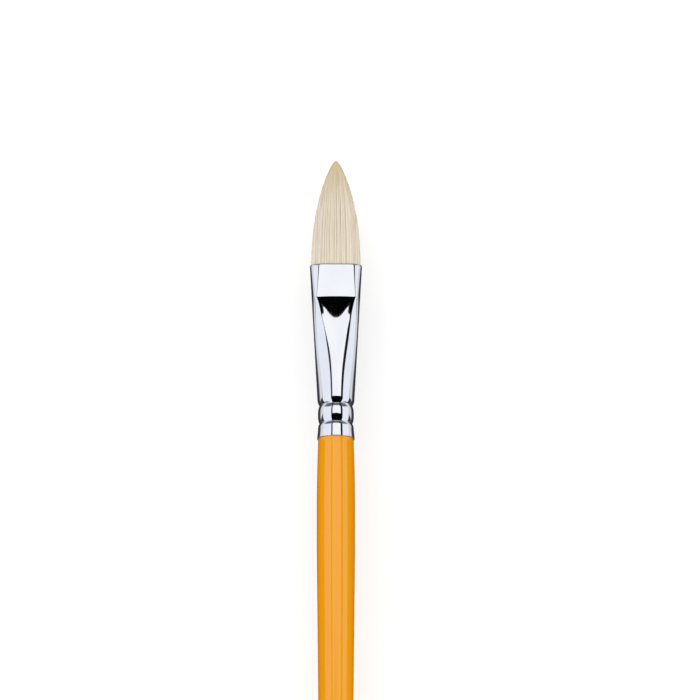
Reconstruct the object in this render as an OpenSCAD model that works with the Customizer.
// Filbert artist's brush: a bristle tuft in a flattened metal ferrule, crimped on a lacquered wooden handle.
// Millimetres. The brush lies along Y with its tip towards +Y and its flat face up, and rests on Z = 0.
// Inside this file each piece stands upright on the brush's own axis, with the tail end at Z = 0.
// A depth in the ferrule is measured down from its mouth.

/* [Tuft] */
// Length of the bristles outside the ferrule
tuft_len = 27; // [18:0.5:40]
// Thickness of the middle layer of bristles
core_t = 1.6; // [0.8:0.1:2.4]
// How soon the outline rounds in: a lower value keeps the tuft broad nearer the tip
outline_bend = 0.72; // [0.5:0.02:0.9]
// How soon the side view thins: a higher value makes a longer wedge
wedge_bend = 0.85; // [0.5:0.05:1]
// Radius of the blunt end of the tip
tip_r = 0.15; // [0.1:0.05:1]
// Gap in which the tuft rolls over the bristle roots
flex_gap = 0.3; // [0.1:0.05:0.6]

/* [Ferrule] */
// Length of the ferrule
ferrule_len = 44.5; // [36:0.5:56]
// Outer width of the mouth
mouth_w = 13; // [10:0.5:18]
// Outer thickness of the mouth
mouth_t = 5.2; // [4:0.1:7]
// Thickness of the metal
wall = 0.25; // [0.15:0.05:0.5]
// Length of the pressed flat behind the mouth
press_len = 8.6; // [5:0.2:12]
// Thickness that the pressed flat gains over its length
press_gain = 0.5; // [0:0.1:1]
// How far the flat face drops just behind the pressed flat
press_drop = 0.06; // [0:0.02:0.2]
// Width of the flat face at the mouth
mouth_flat_w = 7; // [4:0.1:9]
// Width of the flat face at the end of the pressed flat, where it is widest
press_flat_w = 9.4; // [4:0.1:9.6]
// Depth of the three-cornered hollow that pressing leaves behind the flat
dent_depth = 0.45; // [0:0.05:0.6]
// Width of the hollow, where it starts at the end of the pressed flat
dent_w = 10; // [4:0.1:10]
// Length of the hollow
dent_len = 17; // [8:0.2:20]
// Outer diameter of the round shoulder before the crimps
shoulder_d = 9.2; // [7:0.1:12]
// Length over which the shoulder rounds into the first crimp
shoulder_len = 1.6; // [0.8:0.1:3]
// Outer diameter of the bead between the crimps
bead_d = 8.9; // [7:0.1:12]
// Depth of each crimp below the bead
crimp_depth = 0.4; // [0.1:0.05:0.8]
// Distance between the two crimps
crimp_pitch = 4.6; // [3:0.1:7]
// Length from the second crimp to the handle end of the ferrule
collar_len = 3.9; // [3:0.1:7]
// Outer diameter of the flared handle end
collar_d = 9.36; // [7:0.02:12]

/* [Handle] */
// Length of the handle behind the ferrule
handle_len = 234.5; // [150:0.5:300]
// Largest diameter, at the straight belly where the brush is held
belly_d = 9.5; // [7:0.1:13]
// Distance from the ferrule to the belly
belly_from = 18; // [8:1:30]
// Length of the straight belly
belly_len = 10; // [5:1:20]
// Diameter at the tail
tail_d = 5.4; // [3:0.1:7]
// Thickness of the lacquer
lacquer_t = 0.2; // [0.1:0.05:0.4]
// Length of lacquer hidden in the ferrule
lacquer_tuck = 1.5; // [0.5:0.1:2]

/* [Inside the ferrule] */
// Length of the bare wooden tenon ahead of the crimps
tenon_len = 5; // [2:0.5:8]
// Thickness of the glue round the tenon
glue_t = 0.25; // [0.15:0.05:0.5]
// Length of the bristle roots inside the ferrule
root_len = 17; // [13:0.5:21]
// Length of the roots that fills the ferrule before the tied waist
root_full_len = 7; // [5:0.5:8]
// Length over which the roots narrow to the tied waist
root_taper_len = 2; // [1:0.5:3]
// Thickness of the resin between the binding and the ferrule
resin_film = 0.2; // [0.1:0.05:0.4]
// Depth of resin under the ends of the roots
resin_cap = 2; // [1:0.5:4]
// Diameter of the binding thread
thread_d = 0.5; // [0.3:0.05:0.7]
// Turns of the binding thread
thread_turns = 5; // [2:1:8]
// Clearance between pieces that are glued, bound or pressed together
fit = 0.05; // [0.03:0.01:0.1]

/* [Hidden] */
// Points in each half of an oval ring: an odd number puts one on the widest spot
arc_points = 19;
thread_sides = 6;
round_fn = 96;

// Length over which the flat face drops behind the pressed flat
drop_len = 3;
// Power by which the flat face narrows from the pressed flat to the round shoulder
flat_fade = 3.6;
// Power of the sine by which the thickness rises over the same length
rise_bend = 3.5;
// Power by which the hollow narrows over the same length
dent_fade = 1.7;
// Along its length the hollow follows s(1 - s^2)^2, whose largest value is this
dent_peak = 16 / 25 / sqrt(5);
// Power by which the bead and the collar curve up out of the crimps
crimp_bend = 3;
// Share of the collar that curves up out of the second crimp
collar_curve = 0.4;
// Thickness of the tip, as a share of its width
tip_flat = 0.75;
// Flat face of the tuft, as a share of its width
tuft_flat = 0.58;

mouth_z = handle_len + ferrule_len;
tip_z = mouth_z + tuft_len;
rest_r = max(belly_d, collar_d) / 2;

shoulder_r = shoulder_d / 2;
bead_r = bead_d / 2;
crimp_r = bead_r - crimp_depth;
collar_r = collar_d / 2;
press_b = (mouth_t + press_gain) / 2;

second_crimp = ferrule_len - collar_len;
first_crimp = second_crimp - crimp_pitch;
shoulder_at = first_crimp - shoulder_len;
collar_at = second_crimp + collar_curve * collar_len;
tenon_at = shoulder_at - tenon_len;

// The tuft fills the mouth, and rolls on a round seat in the roots whose lowest line is at the mouth
base_a = mouth_w / 2 - wall - fit;
base_b = mouth_t / 2 - wall - fit;
roll_r = base_b + fit;
roll_z = mouth_z + flex_gap + roll_r;

// Depths inside the wall, measured inwards from the ferrule's outer surface
inside = wall + fit;
resin_inside = inside + resin_film;
thread_inside = resin_inside + fit + thread_d / 2;
waist_inside = thread_inside + thread_d / 2 + fit;
thread_at = root_full_len + root_taper_len + thread_d;
thread_pitch = thread_d + fit;

belly_r = belly_d / 2;
tail_r = tail_d / 2;
front_r = collar_r - inside;
belly_end = belly_from + belly_len;

function steps(from, to, count) = [for (i = [0 : count - 1]) from + (to - from) * i / count];
function reverse(list) = [for (i = [len(list) - 1 : -1 : 0]) list[i]];

// Depths of the rings along the flattened part of the ferrule, which the pieces inside share
body_depths = concat(steps(0, press_len, 3), steps(press_len, shoulder_at, 20));
function between(from, to) =
    concat([from], [for (d = body_depths) if (d > from + fit && d < to - fit) d], [to]);

// Outer half-width, half-thickness and half-width of the flat face of the ferrule, by depth
function half_width(depth) = mouth_w / 2 + (shoulder_r - mouth_w / 2) * depth / shoulder_at;
function past_press(depth) = max(0, (depth - press_len) / (shoulder_at - press_len));
function half_thickness(depth) =
    let (dropped = press_drop * (1 - pow(max(0, 1 - (depth - press_len) / drop_len), 2)))
    depth < press_len
        ? mouth_t / 2 + (press_b - mouth_t / 2) * depth / press_len
        : press_b - dropped
            + (shoulder_r - press_b + press_drop) * pow(sin(90 * past_press(depth)), rise_bend);
function half_flat(depth) =
    depth < press_len
        ? (mouth_flat_w + (press_flat_w - mouth_flat_w) * depth / press_len) / 2
        : press_flat_w / 2 * pow(1 - past_press(depth), flat_fade);

// How far the hollow sinks the flat face, by depth and by distance from the middle of the face
function dent(depth, x) =
    let (
        s = (depth - press_len) / dent_len,
        across = x / (dent_w / 2 * pow(1 - past_press(depth), dent_fade))
    )
    s > 0 && s < 1 && abs(across) < 1
        ? dent_depth * s * pow(1 - s * s, 2) / dent_peak * (1 - across * across)
        : 0;

// Outer radius of the round, crimped end of the ferrule, by depth
function crimped_radius(depth) =
    depth < first_crimp
        ? shoulder_r - (shoulder_r - crimp_r) * pow((depth - shoulder_at) / shoulder_len, 2)
        : depth < second_crimp
            ? bead_r - crimp_depth * pow(abs(2 * (depth - first_crimp) / crimp_pitch - 1), crimp_bend)
            : depth < collar_at
                ? bead_r - crimp_depth * pow((collar_at - depth) / (collar_at - second_crimp), crimp_bend)
                : bead_r + (collar_r - bead_r) * (depth - collar_at) / (ferrule_len - collar_at);

// Points of an oval with a flat front and back: half-width a, half-thickness b, half-width of the flat f
function oval(a, b, f, z) = [
    for (i = [0 : 2 * arc_points - 1])
        let (
            angle = (i + 0.5) * 180 / arc_points - 90,
            x = a * cos(angle),
            off_flat = min(1, max(0, abs(x) - f) / (a - f))
        )
        [x, b * sqrt(1 - off_flat * off_flat) * sign(sin(angle)), z]
];

// The ferrule's outline at a depth, moved inwards: the flat keeps its share of the width
function ferrule_oval(depth, inwards) =
    let (
        a = half_width(depth) - inwards,
        b = half_thickness(depth) - inwards,
        r = crimped_radius(depth) - inwards
    )
    depth < shoulder_at
        ? [
            for (p = oval(a, b, half_flat(depth) * a / half_width(depth), mouth_z - depth))
                p - [0, sign(p.y) * dent(depth, p.x), 0]
        ]
        : oval(r, r, 0, mouth_z - depth);

// The tuft's outline at a height, from the mouth at 0 to the tip at tuft_len
function tuft_oval(height) =
    let (
        from_tip = 1 - height / tuft_len,
        a = tip_r + (base_a - tip_r) * sin(90 * pow(from_tip, outline_bend)),
        b = tip_r * tip_flat + (base_b - tip_r * tip_flat) * sin(90 * pow(from_tip, wedge_bend))
    )
    oval(a, b, a * tuft_flat, mouth_z + height);

// Triangles that close a ring, in strips from front to back, because the hollow makes some rings dip in
function cap(first, sides) =
    let (widest = (sides / 2 - 1) / 2)
    [
        for (k = [0 : sides / 2 - 1])
            let (
                a = first + (widest - k + sides) % sides,
                b = first + (widest - k - 1 + sides) % sides,
                c = first + (widest + k + 1) % sides,
                d = first + (widest + k) % sides
            )
            each concat(b == c ? [] : [[b, a, c]], a == d ? [] : [[a, d, c]])
    ];

// A solid through rings of points, closed by its end rings or, in a loop, on itself
// The rings go down the outside. Those of a lining come back up, with the same diagonals to stay parallel
module skin(rings, loop = false) {
    sides = len(rings[0]);
    last = len(rings) - 1;
    walls = [
        for (k = [0 : loop ? last : last - 1], j = [0 : sides - 1])
            let (
                a = k * sides + j,
                b = k * sides + (j + 1) % sides,
                next = k == last ? -last * sides : sides,
                rises = rings[(k + 1) % (last + 1)][0].z > rings[k][0].z
            )
            each rises
                ? [[a, b, a + next], [b, b + next, a + next]]
                : [[a, b, b + next], [a, b + next, a + next]]
    ];
    ends = concat([for (face = cap(0, sides)) reverse(face)], cap(last * sides, sides));
    polyhedron(
        points = [for (ring = rings) each ring],
        faces = loop ? walls : concat(walls, ends),
        convexity = 6
    );
}

// Lays an upright piece down along Y, on the surface
module lay() {
    translate([0, -tip_z / 2, rest_r]) rotate([-90, 0, 0]) children();
}

// A cylinder on the line about which the tuft bends
module roll(r) {
    translate([0, 0, roll_z]) rotate([0, 90, 0])
        cylinder(r = r, h = 2 * mouth_w, center = true, $fn = round_fn);
}

// The whole tuft, with its base rounded about the bending line
module tuft() {
    top_heights = [for (k = steps(0, 1, 14)) tuft_len * (1 - k * k)];
    difference() {
        skin([for (h = concat(top_heights, [flex_gap])) tuft_oval(h)]);
        difference() {
            translate([-mouth_w, -mouth_t, mouth_z]) cube([2 * mouth_w, 2 * mouth_t, roll_z - mouth_z]);
            roll(roll_r);
        }
    }
}

// One layer of the tuft, between two distances from its middle plane
module tuft_layer(from, to) {
    intersection() {
        tuft();
        translate([-mouth_w, from, mouth_z]) cube([2 * mouth_w, to - from, tuft_len + 1]);
    }
}

module front_bristles() {
    color("#e3d6bd") lay() tuft_layer(-mouth_t, -core_t / 2);
}

module core_bristles() {
    color("#d9c9a3") lay() tuft_layer(-core_t / 2, core_t / 2);
}

module back_bristles() {
    color("#e3d6bd") lay() tuft_layer(core_t / 2, mouth_t);
}

// The bristles inside the ferrule: full at the mouth, with a seat for the tuft, and tied in at a waist
module bristle_roots() {
    waist_at = root_full_len + root_taper_len;
    outside = [for (h = [roll_z - mouth_z, fit]) tuft_oval(h)];
    full = [for (d = between(fit, root_full_len)) ferrule_oval(d, inside)];
    waist = [for (d = between(waist_at, root_len)) ferrule_oval(d, waist_inside)];
    color("#cdb98c") lay() difference() {
        skin(concat(outside, full, waist));
        roll(roll_r + flex_gap);
    }
}

// One thread wound round the waist of the roots
module root_binding() {
    per_turn = 2 * arc_points;
    path = [
        for (k = [-1 : thread_turns * per_turn + 1])
            let (depth = thread_at + thread_pitch * k / per_turn)
            ferrule_oval(depth, thread_inside)[(k + per_turn) % per_turn]
    ];
    rings = [
        for (k = [1 : len(path) - 2])
            let (
                along = path[k + 1] - path[k - 1],
                out = [along.y, -along.x, 0] / norm([along.x, along.y])
            )
            [
                for (j = [0 : thread_sides - 1])
                    let (angle = 360 * j / thread_sides)
                    path[k] + thread_d / 2 * (cos(angle) * out + [0, 0, sin(angle)])
            ]
    ];
    color("#efe9dc") lay() skin(rings);
}

// Cast resin: a cup that holds the root ends and bonds them to the ferrule
module resin_plug() {
    top = root_full_len + root_taper_len / 2;
    bottom = root_len + resin_cap;
    floor_at = root_len + fit;
    cavity = [for (d = reverse(between(top, floor_at))) ferrule_oval(d, resin_inside)];
    outside = [for (d = between(top, bottom)) ferrule_oval(d, inside)];
    color("#c98f3a") lay() skin(concat(cavity, outside));
}

// Seamless metal tube: flattened at the mouth, round at the crimps
module ferrule() {
    depths = concat(
        body_depths, steps(shoulder_at, first_crimp, 4), steps(first_crimp, second_crimp, 8),
        steps(second_crimp, collar_at, 4), [collar_at, ferrule_len]
    );
    outside = [for (d = depths) ferrule_oval(d, 0)];
    lining = [for (d = reverse(depths)) ferrule_oval(d, wall)];
    color("#d9dbe2") lay() skin(concat(outside, lining), loop = true);
}

// Radius of the tenon ahead of the crimps: glue fills the rest of the ferrule
function tenon_radius(depth) =
    let (nose_r = half_thickness(tenon_at) - wall - glue_t, root_r = shoulder_r - wall - glue_t)
    nose_r + (root_r - nose_r) * (depth - tenon_at) / tenon_len;

// Glue between the tenon and the ferrule
module tenon_glue() {
    depths = between(tenon_at, shoulder_at - fit);
    outside = [for (d = depths) ferrule_oval(d, inside)];
    lining = [
        for (d = reverse(depths))
            let (r = tenon_radius(d) + 2 * fit)
            oval(r, r, 0, mouth_z - d)
    ];
    color("#e8dcb4") lay() skin(concat(outside, lining), loop = true);
}

// Outer radius of the lacquered handle, by distance behind the ferrule, as far as the rounded tail
function handle_radius(behind) =
    behind < belly_from
        ? belly_r - (belly_r - front_r) * pow(1 - behind / belly_from, 2)
        : behind < belly_end
            ? belly_r
            : belly_r - (belly_r - tail_r) * (behind - belly_end) / (handle_len - tail_r - belly_end);

// Outline of the handle as [radius, height] from its tucked-in front to the tail, a skin's thickness down
function handle_outline(under) = concat(
    [
        for (d = [ferrule_len - lacquer_tuck, ferrule_len])
            [crimped_radius(d) - inside - under, mouth_z - d]
    ],
    [
        for (v = concat(steps(0, belly_from, 8), [belly_from, belly_end]))
            if (v > 0) [handle_radius(v) - under, handle_len - v]
    ],
    [
        for (angle = [0 : 10 : 90])
            [(tail_r - under) * cos(angle), tail_r - (tail_r - under) * sin(angle)]
    ]
);

// Turned wooden handle: its tenon is swaged by the crimps
module handle_core() {
    crimped = concat(
        steps(shoulder_at, first_crimp, 4), steps(first_crimp, second_crimp, 8),
        steps(second_crimp, collar_at, 4), [ferrule_len - lacquer_tuck]
    );
    nose = [
        [0, mouth_z - tenon_at],
        [tenon_radius(tenon_at), mouth_z - tenon_at],
        [tenon_radius(shoulder_at), mouth_z - shoulder_at]
    ];
    tenon = [for (d = crimped) [crimped_radius(d) - inside, mouth_z - d]];
    color("#d8b98a") lay() rotate_extrude($fn = round_fn)
        polygon(concat(nose, tenon, handle_outline(lacquer_t)));
}

// Lacquer over the whole handle
module handle_lacquer() {
    color("#f09a1e") lay() rotate_extrude($fn = round_fn)
        polygon(concat(handle_outline(0), reverse(handle_outline(lacquer_t))));
}

front_bristles();
core_bristles();
back_bristles();
bristle_roots();
root_binding();
resin_plug();
ferrule();
tenon_glue();
handle_core();
handle_lacquer();
